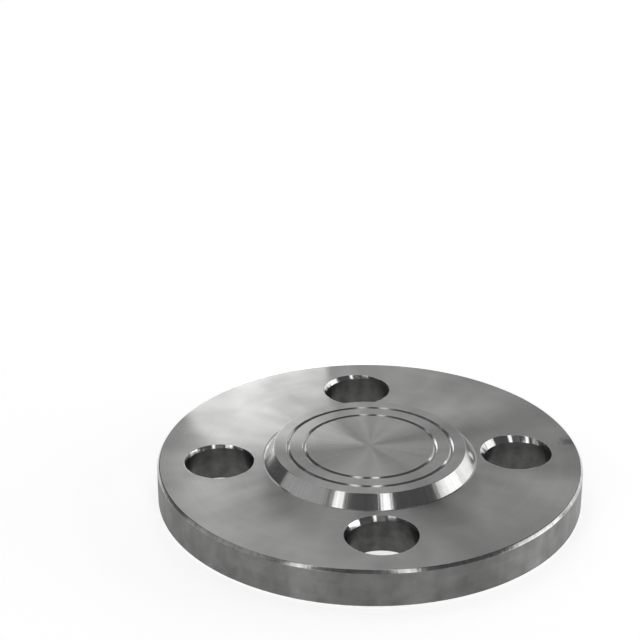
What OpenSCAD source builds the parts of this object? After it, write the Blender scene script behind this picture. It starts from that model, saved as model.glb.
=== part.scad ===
// Blind pipe flange with a raised sealing face, turned and drilled from one piece of stainless steel.
// It lies on its flat back with the raised face up. The origin is the centre of the back,
// Z runs along the flange's axis, and bolt holes lie on the X and Y axes. Sizes are in millimetres.

/* [Disc] */
// Outside diameter of the disc
disc_d = 99; // [94:0.5:112]
// Thickness of the disc around the bolt holes, without the raised face
disc_h = 9; // [6:0.5:20]
// Width across the disc of the bevel on the rim's upper edge
rim_bevel_w = 0.5; // [0.2:0.1:1.5]
// Height of the bevel on the rim's upper edge
rim_bevel_h = 0.75; // [0.25:0.25:1.5]
// Width and height of the bevel on the rim's lower edge
back_bevel = 0.3; // [0.1:0.1:1]

/* [Raised face] */
// Diameter of the flat top of the raised face
face_d = 44.6; // [41:0.2:47]
// Height of the raised face above the disc
face_h = 3; // [1:0.5:5]
// Distance that the flank slopes outwards from the flat top to the disc
face_flank_w = 2.2; // [0.5:0.1:3]

/* [Gasket grooves] */
// Diameter of the outer groove along the bottom of its V
outer_groove_d = 38.2; // [35:0.2:39]
// Diameter of the inner groove along the bottom of its V
inner_groove_d = 30.6; // [16:0.2:32]
// Width of each groove at its mouth
groove_w = 0.9; // [0.4:0.1:1.6]
// Depth of each groove
groove_depth = 0.4; // [0.2:0.1:0.8]

/* [Bolt holes] */
// Number of bolt holes, evenly spaced
bolt_hole_count = 4; // [2:1:8]
// Diameter of the circle through the bolt holes' centres
bolt_circle_d = 69.9; // [69:0.1:74]
// Diameter of each bolt hole
bolt_hole_d = 16; // [10:0.5:17]
// Width of the bevel around a hole's mouth on the raised-face side
mouth_bevel_w = 0.4; // [0.1:0.1:0.6]
// Depth of the bevel around a hole's mouth on the raised-face side
mouth_bevel_h = 1.2; // [0.2:0.1:2]
// Width and depth of the bevel around a hole's mouth on the back
back_mouth_bevel = 0.4; // [0.1:0.1:0.6]

/* [Hidden] */
// Number of straight sides that a full circle is drawn with
$fn = 180;
// Overlap that makes a cut run clean through a surface
cut = 0.5;

disc_r = disc_d / 2;
face_r = face_d / 2;
face_foot_r = face_r + face_flank_w;
top_z = disc_h + face_h;
bolt_hole_r = bolt_hole_d / 2;

// V groove in the sealing face: outer lip, bottom, inner lip
function groove_points(groove_r) = [
    [groove_r + groove_w / 2, top_z],
    [groove_r, top_z - groove_depth],
    [groove_r - groove_w / 2, top_z]
];

// Half section of the turned blank, from the centre of the back round to the centre of the face
function blank_points() = concat(
    [
        [0, 0],
        [disc_r - back_bevel, 0],
        [disc_r, back_bevel],
        [disc_r, disc_h - rim_bevel_h],
        [disc_r - rim_bevel_w, disc_h],
        [face_foot_r, disc_h],
        [face_r, top_z]
    ],
    groove_points(outer_groove_d / 2),
    groove_points(inner_groove_d / 2),
    [[0, top_z]]
);

// The blank as it leaves the lathe: disc, raised face and grooves
module turned_blank() {
    rotate_extrude() polygon(blank_points());
}

// A straight hole through the disc
module bore() {
    translate([0, 0, -cut]) cylinder(r = bolt_hole_r, h = disc_h + 2 * cut);
}

// The widened mouth on the raised-face side, continued at the same slope above the disc
module mouth_bevel() {
    rise = cut * mouth_bevel_w / mouth_bevel_h;
    translate([0, 0, disc_h - mouth_bevel_h])
        cylinder(r1 = bolt_hole_r, r2 = bolt_hole_r + mouth_bevel_w + rise, h = mouth_bevel_h + cut);
}

// The widened mouth on the back, continued at the same slope below the disc
module back_mouth_bevel() {
    translate([0, 0, -cut])
        cylinder(r1 = bolt_hole_r + back_mouth_bevel + cut, r2 = bolt_hole_r, h = back_mouth_bevel + cut);
}

module bolt_hole() {
    bore();
    mouth_bevel();
    back_mouth_bevel();
}

module flange() {
    color([0.66, 0.66, 0.65])
        difference() {
            turned_blank();
            for (i = [0 : bolt_hole_count - 1])
                rotate([0, 0, i * 360 / bolt_hole_count])
                    translate([bolt_circle_d / 2, 0, 0]) bolt_hole();
        }
}

flange();
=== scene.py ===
import math

import bpy
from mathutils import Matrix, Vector


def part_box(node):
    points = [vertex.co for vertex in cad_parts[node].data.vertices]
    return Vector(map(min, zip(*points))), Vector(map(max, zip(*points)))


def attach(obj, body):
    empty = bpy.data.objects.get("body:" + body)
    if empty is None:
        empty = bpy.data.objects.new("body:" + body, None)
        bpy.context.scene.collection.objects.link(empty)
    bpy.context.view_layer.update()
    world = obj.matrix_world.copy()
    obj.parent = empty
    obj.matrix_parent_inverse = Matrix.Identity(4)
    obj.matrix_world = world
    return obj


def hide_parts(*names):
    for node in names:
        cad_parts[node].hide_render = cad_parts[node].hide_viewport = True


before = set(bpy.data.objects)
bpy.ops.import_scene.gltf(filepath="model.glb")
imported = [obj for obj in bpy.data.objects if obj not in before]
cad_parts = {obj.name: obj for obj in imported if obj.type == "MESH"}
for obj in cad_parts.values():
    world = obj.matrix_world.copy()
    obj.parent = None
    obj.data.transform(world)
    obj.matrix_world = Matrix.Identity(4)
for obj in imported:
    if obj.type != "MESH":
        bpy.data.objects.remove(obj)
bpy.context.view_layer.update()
scene = bpy.context.scene

# The flange's half section. The real one is turned from a slab of stainless steel: rim, disc, raised
# face and its two gasket grooves. Every corner is broken a little, as a lathe hand does with a file,
# and the tool has dug a shallow ring into the disc at the foot of the raised face.

MM = 0.001
disc_r, _, face_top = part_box("flange")[1]
face_h = 3.0 * MM
disc_top = face_top - face_h
face_r = 22.3 * MM
flank_w = 2.2 * MM
flank_foot_r = face_r + flank_w
rim_bevel_w = 0.5 * MM
rim_bevel_h = 0.75 * MM
back_bevel = 0.3 * MM
groove_radii = (19.1 * MM, 15.3 * MM)
groove_half_w = 0.45 * MM
groove_depth = 0.4 * MM
foot_relief_w = 0.55 * MM
foot_relief_bottom = 0.1 * MM
foot_relief_depth = 0.08 * MM

# Roundings of the corners
back_edge = 0.16 * MM
rim_edge = 0.25 * MM
foot_edge = 0.05 * MM
face_edge = 0.18 * MM
groove_edge = 0.04 * MM


def section_line(name, corners):
    """A mesh of one open line through (radius, height, corner rounding), for a tree to turn round Z."""
    line = bpy.data.meshes.new(name)
    edges = [(i, i + 1) for i in range(len(corners) - 1)]
    line.from_pydata([(r, 0, z) for r, z, _ in corners], edges, [])
    rounding = line.attributes.new("rounding", "FLOAT", "POINT")
    rounding.data.foreach_set("value", [blend for _, _, blend in corners])
    section = bpy.data.objects.new(name, line)
    scene.collection.objects.link(section)
    return section


def groove_corners(radius):
    """The V of one gasket groove, from its outer lip to its inner lip."""
    return [
        (radius + groove_half_w, face_top, groove_edge),
        (radius, face_top - groove_depth, groove_edge),
        (radius - groove_half_w, face_top, groove_edge),
    ]


blank_section = section_line("blank_section", [
    (0, 0, 0),
    (disc_r - back_bevel, 0, back_edge),
    (disc_r, back_bevel, back_edge),
    (disc_r, disc_top - rim_bevel_h, rim_edge),
    (disc_r - rim_bevel_w, disc_top, rim_edge),
    (flank_foot_r + foot_relief_w, disc_top, foot_edge),
    (flank_foot_r + foot_relief_bottom, disc_top - foot_relief_depth, foot_edge),
    (face_r, face_top, face_edge),
    *groove_corners(groove_radii[0]),
    *groove_corners(groove_radii[1]),
    (0, face_top, 0),
])

# The steel's finish. Every machined surface carries the same kinds of marks: fine rings from the
# tool's feed with broader bands among them, streaks across the rings where the tool chattered or an
# emery cloth was drawn along, and the clouds, specks and smudges of handling. On the flats the
# streaks' colour is painted reflection: lighter and darker wedges that stand in for reflected light.


def new_group(name, inputs, outputs):
    """An empty shader node group with the named sockets, and its input and output nodes' sockets."""
    group = bpy.data.node_groups.new(name, "ShaderNodeTree")
    for socket, kind, value in inputs:
        made = group.interface.new_socket(socket, in_out="INPUT", socket_type=kind)
        if value is not None:
            made.default_value = value
    for socket, kind in outputs:
        group.interface.new_socket(socket, in_out="OUTPUT", socket_type=kind)
    return group, group.nodes.new("NodeGroupInput").outputs, group.nodes.new("NodeGroupOutput").inputs


def connect(tree, sockets, values):
    """Links each value that is another node's output to its socket, and sets the others there."""
    for socket, value in zip(sockets, values):
        if isinstance(value, bpy.types.NodeSocket):
            tree.links.new(value, socket)
        else:
            socket.default_value = value


def maths(tree, operation, *values):
    """A Math node with each value linked or set. Returns its output."""
    node = tree.nodes.new("ShaderNodeMath")
    node.operation = operation
    connect(tree, node.inputs, values)
    return node.outputs[0]


def vectors(tree, operation, *values):
    """A Vector Math node with each value linked or set. Returns its output, a number for LENGTH."""
    node = tree.nodes.new("ShaderNodeVectorMath")
    node.operation = operation
    if operation == "SCALE":
        connect(tree, (node.inputs[0], node.inputs["Scale"]), values)
    else:
        connect(tree, node.inputs, values)
    return node.outputs["Value" if operation in ("LENGTH", "DISTANCE") else "Vector"]


def split(tree, vector):
    """The X, Y and Z of a vector."""
    node = tree.nodes.new("ShaderNodeSeparateXYZ")
    tree.links.new(vector, node.inputs[0])
    return node.outputs


def noise(tree, where, detail=2.0, roughness=0.5, drift=None):
    """Soft noise about 0.5 at a place, or at a place and a fourth coordinate."""
    node = tree.nodes.new("ShaderNodeTexNoise")
    node.inputs["Scale"].default_value = 1.0
    node.inputs["Detail"].default_value = detail
    node.inputs["Roughness"].default_value = roughness
    tree.links.new(where, node.inputs["Vector"])
    if drift is not None:
        node.noise_dimensions = "4D"
        tree.links.new(drift, node.inputs["W"])
    return node.outputs["Fac"]


def between(tree, value, low, high, to_low=0.0, to_high=1.0):
    """The value's range low to high stretched over to_low to to_high, held at both ends."""
    node = tree.nodes.new("ShaderNodeMapRange")
    tree.links.new(value, node.inputs["Value"])
    for socket, number in (("From Min", low), ("From Max", high), ("To Min", to_low), ("To Max", to_high)):
        node.inputs[socket].default_value = number
    return node.outputs["Result"]


def swing(tree, value, middle, reach):
    """Noise, which seldom leaves 0.3 to 0.7, as a value that swings about a middle by up to the reach."""
    return between(tree, value, 0.3, 0.7, middle - reach, middle + reach)


def round_the_axis(tree, place):
    """The direction from the axis to a place, and how far across the rings it lies in millimetres."""
    sideways = vectors(tree, "MULTIPLY", place, (1, 1, 0))
    across = maths(tree, "ADD", vectors(tree, "LENGTH", sideways), split(tree, place)["Z"])
    return vectors(tree, "NORMALIZE", sideways), maths(tree, "MULTIPLY", across, 1000.0)


turning_marks, given, result = new_group(
    "turning_marks",
    [
        ("Position", "NodeSocketVector", None),
        ("Marks per mm", "NodeSocketFloat", 4.0),
        ("Bands per mm", "NodeSocketFloat", 0.5),
        ("Unevenness", "NodeSocketFloat", 1.2),
    ],
    [("Marks", "NodeSocketFloat"), ("Bands", "NodeSocketFloat")],
)
outwards, across_mm = round_the_axis(turning_marks, given["Position"])
outwards = vectors(turning_marks, "SCALE", outwards, given["Unevenness"])
for rate, output, detail in (("Marks per mm", "Marks", 3.0), ("Bands per mm", "Bands", 2.0)):
    ring = maths(turning_marks, "MULTIPLY", across_mm, given[rate])
    turning_marks.links.new(noise(turning_marks, outwards, detail, drift=ring), result[output])

cross_streaks, given, result = new_group(
    "cross_streaks",
    [
        ("Position", "NodeSocketVector", None),
        ("Streaks round", "NodeSocketFloat", 12.0),
        ("Change per mm", "NodeSocketFloat", 0.03),
        ("Seed", "NodeSocketFloat", 0.0),
    ],
    [("Streaks", "NodeSocketFloat")],
)
outwards, across_mm = round_the_axis(cross_streaks, given["Position"])
outwards = vectors(cross_streaks, "SCALE", outwards, given["Streaks round"])
change = maths(cross_streaks, "MULTIPLY_ADD", across_mm, given["Change per mm"], given["Seed"])
cross_streaks.links.new(noise(cross_streaks, outwards, drift=change), result["Streaks"])

# Handling leaves most cells of its grid bare, and each speck fades out over a narrow border
bare_cells = 0.6
speck_border = 0.02
handling, given, result = new_group(
    "handling",
    [
        ("Position", "NodeSocketVector", None),
        ("Cloud size", "NodeSocketFloat", 9.0),
        ("Speck spacing", "NodeSocketFloat", 5.0),
        ("Largest speck", "NodeSocketFloat", 0.05),
    ],
    [("Clouds", "NodeSocketFloat"), ("Specks", "NodeSocketFloat")],
)
place_mm = vectors(handling, "SCALE", given["Position"], 1000.0)
per_cloud = maths(handling, "DIVIDE", 1.0, given["Cloud size"])
cloud_place = vectors(handling, "SCALE", place_mm, per_cloud)
handling.links.new(noise(handling, cloud_place, 5.0, 0.6), result["Clouds"])
cells = handling.nodes.new("ShaderNodeTexVoronoi")
cells.inputs["Scale"].default_value = 1.0
per_speck = maths(handling, "DIVIDE", 1.0, given["Speck spacing"])
handling.links.new(vectors(handling, "SCALE", place_mm, per_speck), cells.inputs["Vector"])
speck_share = between(handling, split(handling, cells.outputs["Color"])["X"], bare_cells, 1.0)
speck_r = maths(handling, "MULTIPLY", speck_share, given["Largest speck"])
within_speck = maths(handling, "SUBTRACT", speck_r, cells.outputs["Distance"])
handling.links.new(between(handling, within_speck, 0, speck_border), result["Specks"])

# Shares of a smudge's radius: where it starts to fade, where it is gone, and how ragged it is
smudge_full = 0.4
smudge_gone = 1.2
smudge_ragged = 0.4
smudge, given, result = new_group(
    "smudge",
    [
        ("Position", "NodeSocketVector", None),
        ("Middle", "NodeSocketVector", (0, 0, 0)),
        ("Radius", "NodeSocketFloat", 2 * MM),
        ("Rags per m", "NodeSocketFloat", 900.0),
    ],
    [("Smudge", "NodeSocketFloat")],
)
away = vectors(smudge, "DISTANCE", given["Position"], given["Middle"])
away = maths(smudge, "DIVIDE", away, given["Radius"])
rag_place = vectors(smudge, "SCALE", given["Position"], given["Rags per m"])
away = maths(smudge, "ADD", away, swing(smudge, noise(smudge, rag_place, 4.0), 0.0, smudge_ragged))
smudge.links.new(between(smudge, away, smudge_full, smudge_gone, 1.0, 0.0), result["Smudge"])

# What the bands and a smudge add to the roughness, and a speck's depth in micrometres
micrometre = 0.001 * MM
band_dull = 0.015
smudge_dull = 0.12
speck_depth = 3.0

# On the flats the streaks deepen with each metre from the axis, so they fade out at the middle
wave_growth = 27.0


def steel(name, colour, roughness, anisotropy, flat=False, place=None, rings=(2.0, 0.35), ring_depth=1.5,
          ring_shade=0.03, streaks=(12.0, 0.03), streak_seed=0.0, streak_depth=0.0, streak_tone_and_sheen=0.0,
          clouds=9.0, cloud_shade=0.04, cloud_dull=0.03, speck_shade=0.2, smudges=()):
    """Stainless steel machined in rings. Light spreads across the rings and hardly along them.
    Depths are in micrometres. A place is a group that puts the axis of the rings elsewhere."""
    material = bpy.data.materials.new(name)
    material.use_nodes = True
    tree = material.node_tree
    shader = tree.nodes["Principled BSDF"]
    shader.inputs["Metallic"].default_value = 1.0
    shader.inputs["Anisotropic"].default_value = anisotropy
    position = tree.nodes.new("ShaderNodeTexCoord").outputs["Object"]

    def placed(group, at, values):
        """A group in this material, reading that place, with its inputs set. Returns its outputs."""
        node = tree.nodes.new("ShaderNodeGroup")
        node.node_tree = group
        tree.links.new(at, node.inputs["Position"])
        for socket, value in values.items():
            node.inputs[socket].default_value = value
        return node.outputs

    turned_at = position if place is None else placed(place, position, {})[0]
    marks = placed(turning_marks, turned_at, {"Marks per mm": rings[0], "Bands per mm": rings[1]})
    across = placed(cross_streaks, turned_at, {"Streaks round": streaks[0], "Change per mm": streaks[1],
                                               "Seed": streak_seed})
    worn = placed(handling, position, {"Cloud size": clouds})

    shade = maths(tree, "ADD", swing(tree, marks["Marks"], 1.0, ring_shade),
                  swing(tree, marks["Bands"], 0.0, ring_shade))
    # The streaks' colour: a real mottle of the steel on most surfaces, painted reflection on the flats
    shade = maths(tree, "ADD", shade, swing(tree, across["Streaks"], 0.0, streak_tone_and_sheen))
    shade = maths(tree, "ADD", shade, swing(tree, worn["Clouds"], 0.0, cloud_shade))
    shade = maths(tree, "MULTIPLY", shade, between(tree, worn["Specks"], 0, 1, 1.0, 1 - speck_shade))
    rough = maths(tree, "ADD", swing(tree, marks["Bands"], roughness, band_dull),
                  swing(tree, worn["Clouds"], 0.0, -cloud_dull))
    for x, y, radius, darkness in smudges:
        dirt = placed(smudge, position, {"Middle": (x, y, disc_top), "Radius": radius})["Smudge"]
        shade = maths(tree, "MULTIPLY", shade, between(tree, dirt, 0, 1, 1.0, 1 - darkness))
        rough = maths(tree, "ADD", rough, maths(tree, "MULTIPLY", dirt, smudge_dull))
    tree.links.new(vectors(tree, "SCALE", colour, shade), shader.inputs["Base Color"])
    tree.links.new(rough, shader.inputs["Roughness"])

    height = maths(tree, "MULTIPLY", marks["Marks"], ring_depth)
    waves = maths(tree, "MULTIPLY", across["Streaks"], streak_depth)
    if flat:
        wave_share = maths(tree, "MULTIPLY", vectors(tree, "LENGTH", position), wave_growth)
        waves = maths(tree, "MULTIPLY", waves, wave_share)
    height = maths(tree, "ADD", height, waves)
    height = maths(tree, "SUBTRACT", height, maths(tree, "MULTIPLY", worn["Specks"], speck_depth))
    bump = tree.nodes.new("ShaderNodeBump")
    bump.inputs["Distance"].default_value = micrometre
    tree.links.new(height, bump.inputs["Height"])
    tree.links.new(bump.outputs["Normal"], shader.inputs["Normal"])

    surface = tree.nodes.new("ShaderNodeNewGeometry").outputs["Normal"]
    along = vectors(tree, "CROSS_PRODUCT", (0, 0, 1), position if flat else surface)
    tangent = vectors(tree, "NORMALIZE", vectors(tree, "CROSS_PRODUCT", surface, along))
    tree.links.new(tangent, shader.inputs["Tangent"])
    return material


# On the faced disc and the raised face the streaks' lighter and darker colour is painted reflection:
# radial wedges whose seeds set them where reflected wedges of light fall
faced_steel = steel("faced_steel", (0.52, 0.52, 0.515), 0.31, 1.0, flat=True, streaks=(4.0, 0.05),
                    streak_seed=7.45, streak_depth=8.0, streak_tone_and_sheen=0.17, cloud_dull=0.015,
                    smudges=((47.8 * MM, 4.7 * MM, 2.2 * MM, 0.4),))
sealing_steel = steel("sealing_steel", (0.52, 0.52, 0.515), 0.31, 1.0, flat=True, rings=(2.5, 0.5),
                      streaks=(4.0, 0.03), streak_seed=8.8, streak_depth=6.0, streak_tone_and_sheen=0.1,
                      cloud_dull=0.015, speck_shade=0.1)
back_steel = steel("back_steel", (0.48, 0.48, 0.475), 0.38, 1.0, flat=True, rings=(1.2, 0.2),
                   ring_depth=4.0, ring_shade=0.05, cloud_shade=0.07)
# The rim's dark colour is painted shade: it stands in for the dark surroundings that the rim mirrors
rim_steel_painted_dark = steel("rim_steel_painted_dark", (0.24, 0.24, 0.237), 0.46, 0.9, rings=(1.5, 0.5), ring_depth=3.0,
                  streaks=(9.0, 0.04), streak_depth=14.0, streak_tone_and_sheen=0.16, clouds=4.0,
                  cloud_shade=0.12)
flank_steel = steel("flank_steel", (0.70, 0.70, 0.695), 0.16, 0.8, rings=(3.0, 0.8),
                    streaks=(38.0, 0.15), streak_depth=14.0, streak_tone_and_sheen=0.08, clouds=5.0,
                    cloud_dull=0.02)
groove_steel = steel("groove_steel", (0.58, 0.58, 0.575), 0.16, 0.8, streaks=(20.0, 0.1),
                     streak_depth=3.0, streak_tone_and_sheen=0.05)
edge_steel = steel("edge_steel", (0.50, 0.50, 0.495), 0.22, 0.8, rings=(3.0, 1.0),
                   streaks=(55.0, 0.6), streak_depth=14.0, streak_tone_and_sheen=0.2, clouds=3.0,
                   cloud_shade=0.1)

# The drilled bolt holes. Each is a straight bore. Its mouth was then widened by hand with a tapered
# cutter that wandered a little off centre, so the bevels are of uneven width and no two are alike.
# The bores are dull inside and their colour is darkened as painted shade, and the mouths are bright.

bolt_circle_r = 34.95 * MM
bolt_hole_r = 7.85 * MM
back_mouth_bevel = 0.2 * MM
mouth_edge = 0.07 * MM

# How far the cutting solids stand proud of the surface, and how far a mouth's runs on below its bevel
cutter_rise = 0.3 * MM
cutter_spare = 0.4 * MM

# The lip of a mouth's cutter, which starts a hair below the disc and rises to the cutter's top
lip_w = 1.5 * MM
lip_sink = 0.012 * MM

# Angle on the bolt circle, the mouth's radius and depth, and how far it leans off centre in X and Y
hole_mouths = (
    (0, 8.33 * MM, 1.35 * MM, (-0.50 * MM, 0.35 * MM)),
    (90, 8.15 * MM, 0.95 * MM, (-0.40 * MM, 0.0)),
    (180, 8.12 * MM, 0.85 * MM, (-0.15 * MM, 0.0)),
    (270, 8.25 * MM, 1.35 * MM, (-0.30 * MM, 0.0)),
)

about_a_hole, given, result = new_group(
    "about_a_hole",
    [("Position", "NodeSocketVector", None), ("Circle radius", "NodeSocketFloat", bolt_circle_r)],
    [("About the hole", "NodeSocketVector")],
)
parts = split(about_a_hole, given["Position"])
on_x = maths(about_a_hole, "GREATER_THAN", maths(about_a_hole, "ABSOLUTE", parts["X"]),
             maths(about_a_hole, "ABSOLUTE", parts["Y"]))
middle = about_a_hole.nodes.new("ShaderNodeCombineXYZ")
for axis, share in (("X", on_x), ("Y", maths(about_a_hole, "SUBTRACT", 1.0, on_x))):
    reach = maths(about_a_hole, "MULTIPLY", maths(about_a_hole, "SIGN", parts[axis]), share)
    reach = maths(about_a_hole, "MULTIPLY", reach, given["Circle radius"])
    about_a_hole.links.new(reach, middle.inputs[axis])
about_a_hole.links.new(vectors(about_a_hole, "SUBTRACT", given["Position"], middle.outputs[0]),
                       result["About the hole"])

# The bores' dark colour is painted shade, standing in for the shade inside the holes
bored_steel_painted_dark = steel("bored_steel_painted_dark", (0.115, 0.115, 0.113), 0.38, 0.8, place=about_a_hole,
                    rings=(2.0, 0.7), ring_depth=6.0, ring_shade=0.06, streaks=(4.0, 0.1),
                    streak_depth=20.0, streak_tone_and_sheen=0.12, clouds=2.5, cloud_shade=0.18,
                    speck_shade=0.5)
mouth_steel = steel("mouth_steel", (0.70, 0.70, 0.695), 0.15, 0.8, place=about_a_hole,
                    streaks=(16.0, 0.3), streak_depth=5.0, streak_tone_and_sheen=0.08, clouds=3.0,
                    cloud_dull=0.02)

bore_section = section_line("bore_section", [
    (0, -cutter_rise, 0),
    (bolt_hole_r + back_mouth_bevel + cutter_rise, -cutter_rise, 0),
    (bolt_hole_r, back_mouth_bevel, mouth_edge),
    (bolt_hole_r, disc_top + cutter_rise, 0),
    (0, disc_top + cutter_rise, 0),
])


def mouth_section(name, mouth_r, mouth_depth):
    """The tapered cutter of one mouth, with a lip that rounds the mouth's edge over onto the disc."""
    narrower = cutter_spare * (mouth_r - bolt_hole_r) / mouth_depth
    return section_line(name, [
        (0, disc_top - mouth_depth - cutter_spare, 0),
        (bolt_hole_r - narrower, disc_top - mouth_depth - cutter_spare, 0),
        (mouth_r, disc_top - lip_sink, mouth_edge),
        (mouth_r + lip_w, disc_top + cutter_rise, 0),
        (0, disc_top + cutter_rise, 0),
    ])


# The flange itself, one solid piece of steel, shaped in the order it is made: turned from its half
# section, then drilled right through on the bolt circle, and the mouths widened last.

shaping = bpy.data.node_groups.new("drilled_flange", "GeometryNodeTree")
shaping.interface.new_socket("Geometry", in_out="INPUT", socket_type="NodeSocketGeometry")
shaping.interface.new_socket("Geometry", in_out="OUTPUT", socket_type="NodeSocketGeometry")
circle_radius = shaping.interface.new_socket("Bolt circle radius", in_out="INPUT",
                                             socket_type="NodeSocketFloat")
blank_facets = shaping.interface.new_socket("Facets round the disc", in_out="INPUT",
                                            socket_type="NodeSocketInt")
hole_facets = shaping.interface.new_socket("Facets round a hole", in_out="INPUT",
                                           socket_type="NodeSocketInt")
shape_in = shaping.nodes.new("NodeGroupInput")
shape_out = shaping.nodes.new("NodeGroupOutput")
weld = 0.001 * MM
path_r = MM
corner_steps = 4

# How far up or down a face's normal points where one finish gives way to the next: the rim's runs up
# to the bevel, the raised face's rolls over its edge, and the flats are all but level
upright = 0.22
rolling_over = 0.94
level = 0.995


def step(kind, links=(), values=(), **settings):
    """One node of the shaping tree, with its sockets linked or set and its own settings."""
    node = shaping.nodes.new("GeometryNode" + kind)
    for setting, value in settings.items():
        setattr(node, setting, value)
    for socket, source in dict(links).items():
        shaping.links.new(source, node.inputs[socket])
    for socket, value in dict(values).items():
        node.inputs[socket].default_value = value
    return node


def turned(section, facets):
    """The section line at that socket, its corners rounded, turned once round Z into a closed solid."""
    line = step("MeshToCurve", {"Mesh": section})
    laid = step("Transform", {"Geometry": line.outputs["Curve"]},
                {"Rotation": (math.pi / 2, 0, 0), "Translation": (-path_r, 0, 0)})
    rounding = step("InputNamedAttribute", values={"Name": "rounding"}, data_type="FLOAT")
    rounded = step("FilletCurve", {"Curve": laid.outputs[0], "Radius": rounding.outputs["Attribute"]},
                   {"Count": corner_steps}, mode="POLY")
    path = step("CurvePrimitiveCircle", {"Resolution": facets}, {"Radius": path_r})
    swept = step("CurveToMesh", {"Curve": path.outputs["Curve"], "Profile Curve": rounded.outputs[0]})
    closed = step("MergeByDistance", {"Geometry": swept.outputs[0]}, {"Distance": weld})
    return step("FlipFaces", {"Mesh": closed.outputs[0]}).outputs[0]


def painted(solid, material, chosen=None):
    """The solid with the material on its chosen faces, or on all of them."""
    links = {"Geometry": solid} if chosen is None else {"Geometry": solid, "Selection": chosen}
    return step("SetMaterial", links, {"Material": material}).outputs[0]


def facing_z():
    """How far each face's normal points up, from -1 to 1."""
    return split(shaping, step("InputNormal").outputs["Normal"])["Z"]


def slope_between(low, high):
    """A selection of faces whose normal's Z, without its sign, lies between two values."""
    size = maths(shaping, "ABSOLUTE", facing_z())
    over = maths(shaping, "GREATER_THAN", size, low)
    return maths(shaping, "MULTIPLY", over, maths(shaping, "LESS_THAN", size, high))


def nearer_than(radius):
    """A selection of what lies nearer to the axis than a radius."""
    sideways = vectors(shaping, "MULTIPLY", step("InputPosition").outputs[0], (1, 1, 0))
    return maths(shaping, "LESS_THAN", vectors(shaping, "LENGTH", sideways), radius)


blank = turned(shape_in.outputs["Geometry"], shape_in.outputs["Facets round the disc"])
blank = painted(blank, faced_steel)
height = split(shaping, step("InputPosition").outputs[0])["Z"]
on_the_face = maths(shaping, "GREATER_THAN", height, disc_top + MM)
sloping = slope_between(upright, level)
for material, chosen in (
    (edge_steel, sloping),
    (flank_steel, maths(shaping, "MULTIPLY", sloping, nearer_than(flank_foot_r + 2 * MM))),
    (sealing_steel, maths(shaping, "MULTIPLY", slope_between(rolling_over, 2.0), on_the_face)),
    (groove_steel, maths(shaping, "MULTIPLY", sloping, nearer_than(groove_radii[0] + MM))),
    (rim_steel_painted_dark, slope_between(-1.0, upright)),
):
    blank = painted(blank, material, chosen)


def on_circle(solid, angle):
    """The solid moved from Z out to the bolt circle at that angle."""
    out_to_circle = shaping.nodes.new("ShaderNodeCombineXYZ")
    turn = math.radians(angle)
    for axis, share in (("X", math.cos(turn)), ("Y", math.sin(turn))):
        reach = maths(shaping, "MULTIPLY", shape_in.outputs["Bolt circle radius"], share)
        shaping.links.new(reach, out_to_circle.inputs[axis])
    return step("Transform", {"Geometry": solid, "Translation": out_to_circle.outputs[0]}).outputs[0]


def leaned(solid, offset, depth):
    """The tapered solid pushed sideways, from nothing at its foot to the full offset at the disc's top."""
    height = split(shaping, step("InputPosition").outputs[0])["Z"]
    push = vectors(shaping, "SCALE", (*offset, 0), between(shaping, height, disc_top - depth, disc_top))
    return step("SetPosition", {"Geometry": solid, "Offset": push}).outputs[0]


def hole_cutter(section, material):
    """A hole section turned into its cutting solid, in the steel that it leaves behind."""
    source = step("ObjectInfo", values={"Object": section}).outputs["Geometry"]
    return painted(turned(source, shape_in.outputs["Facets round a hole"]), material)


hole_sections = [bore_section]
bore = hole_cutter(bore_section, bored_steel_painted_dark)
bores = step("JoinGeometry")
mouths = step("JoinGeometry")
for angle, mouth_r, mouth_depth, offset in hole_mouths:
    section = mouth_section(f"mouth_section_{angle}", mouth_r, mouth_depth)
    hole_sections.append(section)
    mouth = leaned(hole_cutter(section, mouth_steel), offset, mouth_depth)
    shaping.links.new(on_circle(bore, angle), bores.inputs[0])
    shaping.links.new(on_circle(mouth, angle), mouths.inputs[0])

drilled = blank
for cutters in (bores, mouths):
    drilled = step("MeshBoolean", {"Mesh 1": drilled, "Mesh 2": cutters.outputs[0]},
                   operation="DIFFERENCE", solver="EXACT").outputs["Mesh"]
joined = step("MergeByDistance", {"Geometry": drilled}, {"Distance": weld})
smooth = step("SetShadeSmooth", {"Geometry": joined.outputs[0]})
whole = step("RealizeInstances", {"Geometry": smooth.outputs[0]})
whole = painted(whole.outputs[0], back_steel, maths(shaping, "LESS_THAN", facing_z(), -level))
shaping.links.new(whole, shape_out.inputs[0])

shaper = blank_section.modifiers.new("drilled_flange", "NODES")
shaper.node_group = shaping
shaper[circle_radius.identifier] = bolt_circle_r
shaper[blank_facets.identifier] = 512
shaper[hole_facets.identifier] = 160

graph = bpy.context.evaluated_depsgraph_get()
flange_mesh = bpy.data.meshes.new_from_object(blank_section.evaluated_get(graph), depsgraph=graph)
flange_mesh.name = "blind_flange"
steels_at = {}
for face in flange_mesh.polygons:
    for key in face.edge_keys:
        steels_at.setdefault(key, set()).add(face.material_index)
for edge in flange_mesh.edges:
    edge.use_edge_sharp = len(steels_at[edge.key]) > 1
for section in (blank_section, *hole_sections):
    bpy.data.objects.remove(section)
flange = bpy.data.objects.new("blind_flange", flange_mesh)
scene.collection.objects.link(flange)
evener = flange.modifiers.new("even_shading", "WEIGHTED_NORMAL")
evener.keep_sharp = True
evener.weight = 100
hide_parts("flange")
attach(flange, "root")

# The floor is a plain pale bench. It glows only as the camera and the steel see it, so that it looks
# white to them and keeps the flange's shadow.

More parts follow.
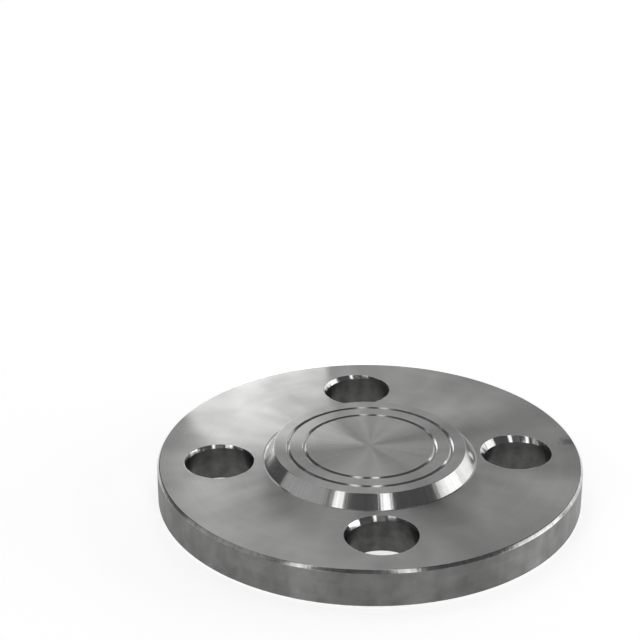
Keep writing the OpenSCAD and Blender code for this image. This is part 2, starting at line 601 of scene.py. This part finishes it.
floor_half = 4.0
floor_sink = 0.01 * MM
floor_white = 0.72
corner_signs = ((-1, -1), (1, -1), (1, 1), (-1, 1))
floor_corners = [(x * floor_half, y * floor_half, -floor_sink) for x, y in corner_signs]
floor_mesh = bpy.data.meshes.new("floor")
floor_mesh.from_pydata(floor_corners, [], [(0, 1, 2, 3)])
floor = bpy.data.objects.new("floor", floor_mesh)
scene.collection.objects.link(floor)
floor_paint = bpy.data.materials.new("floor_paint")
floor_paint.use_nodes = True
floor_tree = floor_paint.node_tree
floor_shader = floor_tree.nodes["Principled BSDF"]
floor_shader.inputs["Base Color"].default_value = (0.8, 0.8, 0.8, 1)
floor_shader.inputs["Roughness"].default_value = 0.9
floor_shader.inputs["Emission Color"].default_value = (1, 1, 1, 1)
rays = floor_tree.nodes.new("ShaderNodeLightPath").outputs
floor_seen = maths(floor_tree, "MAXIMUM", rays["Is Camera Ray"], rays["Is Glossy Ray"])
floor_seen = maths(floor_tree, "MAXIMUM", floor_seen, rays["Is Transmission Ray"])
floor_glow = maths(floor_tree, "MULTIPLY", floor_seen, floor_white)
floor_tree.links.new(floor_glow, floor_shader.inputs["Emission Strength"])
floor_mesh.materials.append(floor_paint)

# The light is a plain studio's: large soft boxes round the bench, two tall narrow ones towards the
# camera that the bevels mirror, and small white cards that stand close behind the flange on the left.

world = bpy.data.worlds.new("studio")
scene.world = world
world.use_nodes = True
world.node_tree.nodes["Background"].inputs["Color"].default_value = (1, 1, 1, 1)
world.node_tree.nodes["Background"].inputs["Strength"].default_value = 0.08
lamp_distance = 1.5

# Degrees that the camera stands round from the front
camera_turn = -5.13


def lamp(name, place, facing, width, height, brightness):
    """A rectangular lamp. A brightness of 1 looks as bright as white does in full light."""
    light = bpy.data.lights.new(name, "AREA")
    light.shape = "RECTANGLE"
    light.size = width
    light.size_y = height
    light.energy = brightness * math.pi * width * height
    holder = bpy.data.objects.new(name, light)
    holder.location = place
    holder.rotation_euler = facing.to_track_quat("-Z", "Y").to_euler()
    scene.collection.objects.link(holder)


def direction(azimuth, elevation):
    """Towards an azimuth and elevation in degrees, with the camera at azimuth -90."""
    turn, rise = math.radians(azimuth + camera_turn), math.radians(elevation)
    return Vector((math.cos(turn) * math.cos(rise), math.sin(turn) * math.cos(rise), math.sin(rise)))


def lamp_size(degrees):
    """The side of a far lamp that looks that many degrees wide from the flange."""
    return 2 * lamp_distance * math.tan(math.radians(degrees / 2))


# Azimuth, elevation, degrees wide, degrees tall, brightness
for name, azimuth, elevation, wide, tall, brightness in (
    ("strip_right", -69, 38, 9.5, 76, 1.4),
    ("strip_left", -127, 38, 9.5, 76, 1.3),
    ("right_low", 0, 6, 40, 12, 2.6),
    ("right", 15, 20, 50, 16, 1.3),
    ("back_right_low", 50, 6, 50, 12, 1.1),
    ("back_right", 50, 20, 20, 16, 0.6),
    ("back_low", 91, 6, 24, 12, 2.5),
    ("back", 90, 30, 30, 34, 0.35),
    ("high_back", 105, 62, 40, 24, 0.7),
    ("left", 191, 23, 50, 44, 0.3),
    ("front_left", 244, 10, 18, 18, 1.0),
    ("front", 275, 13, 30, 26, 0.1),
):
    away = direction(azimuth, elevation)
    lamp(name, away * lamp_distance + Vector((0, 0, disc_top)), -away, lamp_size(wide), lamp_size(tall),
         brightness)

card_facing = direction(-35, 2)
card_along = direction(55, 0)
cards_middle = direction(136.4, 0) * 56.1 * MM + Vector((0, 0, 46.9 * MM))

# Millimetres along and up from the cards' middle, width and height in millimetres, brightness
for name, along, up, wide, tall, brightness in (
    ("card_upper", 29.7, -19.8, 39.6, 19.8, 1.8),
    ("card_lower", 19.8, -33.8, 59.4, 9.4, 1.35),
    ("card_left", 2.5, -19.8, 14.8, 19.8, 0.9),
    ("card_middle", 0, 0, 19.8, 19.8, 0.5),
):
    place = cards_middle + card_along * along * MM + Vector((0, 0, up * MM))
    lamp(name, place, card_facing, wide * MM, tall * MM, brightness)

# The camera stands a little left of the front, about 30 degrees up, with a long lens. It looks at a
# point behind the flange, which so lies in the lower half of the frame.

camera_data = bpy.data.cameras.new("camera")
camera_data.lens = 104.77
camera_data.sensor_width = 36
camera_data.clip_start = 0.01
camera = bpy.data.objects.new("camera", camera_data)
camera.location = (-34.16 * MM, -380.72 * MM, 219.63 * MM)
looks_at = Vector((-5.87 * MM, 96.68 * MM, 0))
camera.rotation_euler = (looks_at - camera.location).to_track_quat("-Z", "Y").to_euler()
scene.collection.objects.link(camera)
scene.camera = camera
scene.view_settings.view_transform = "Standard"
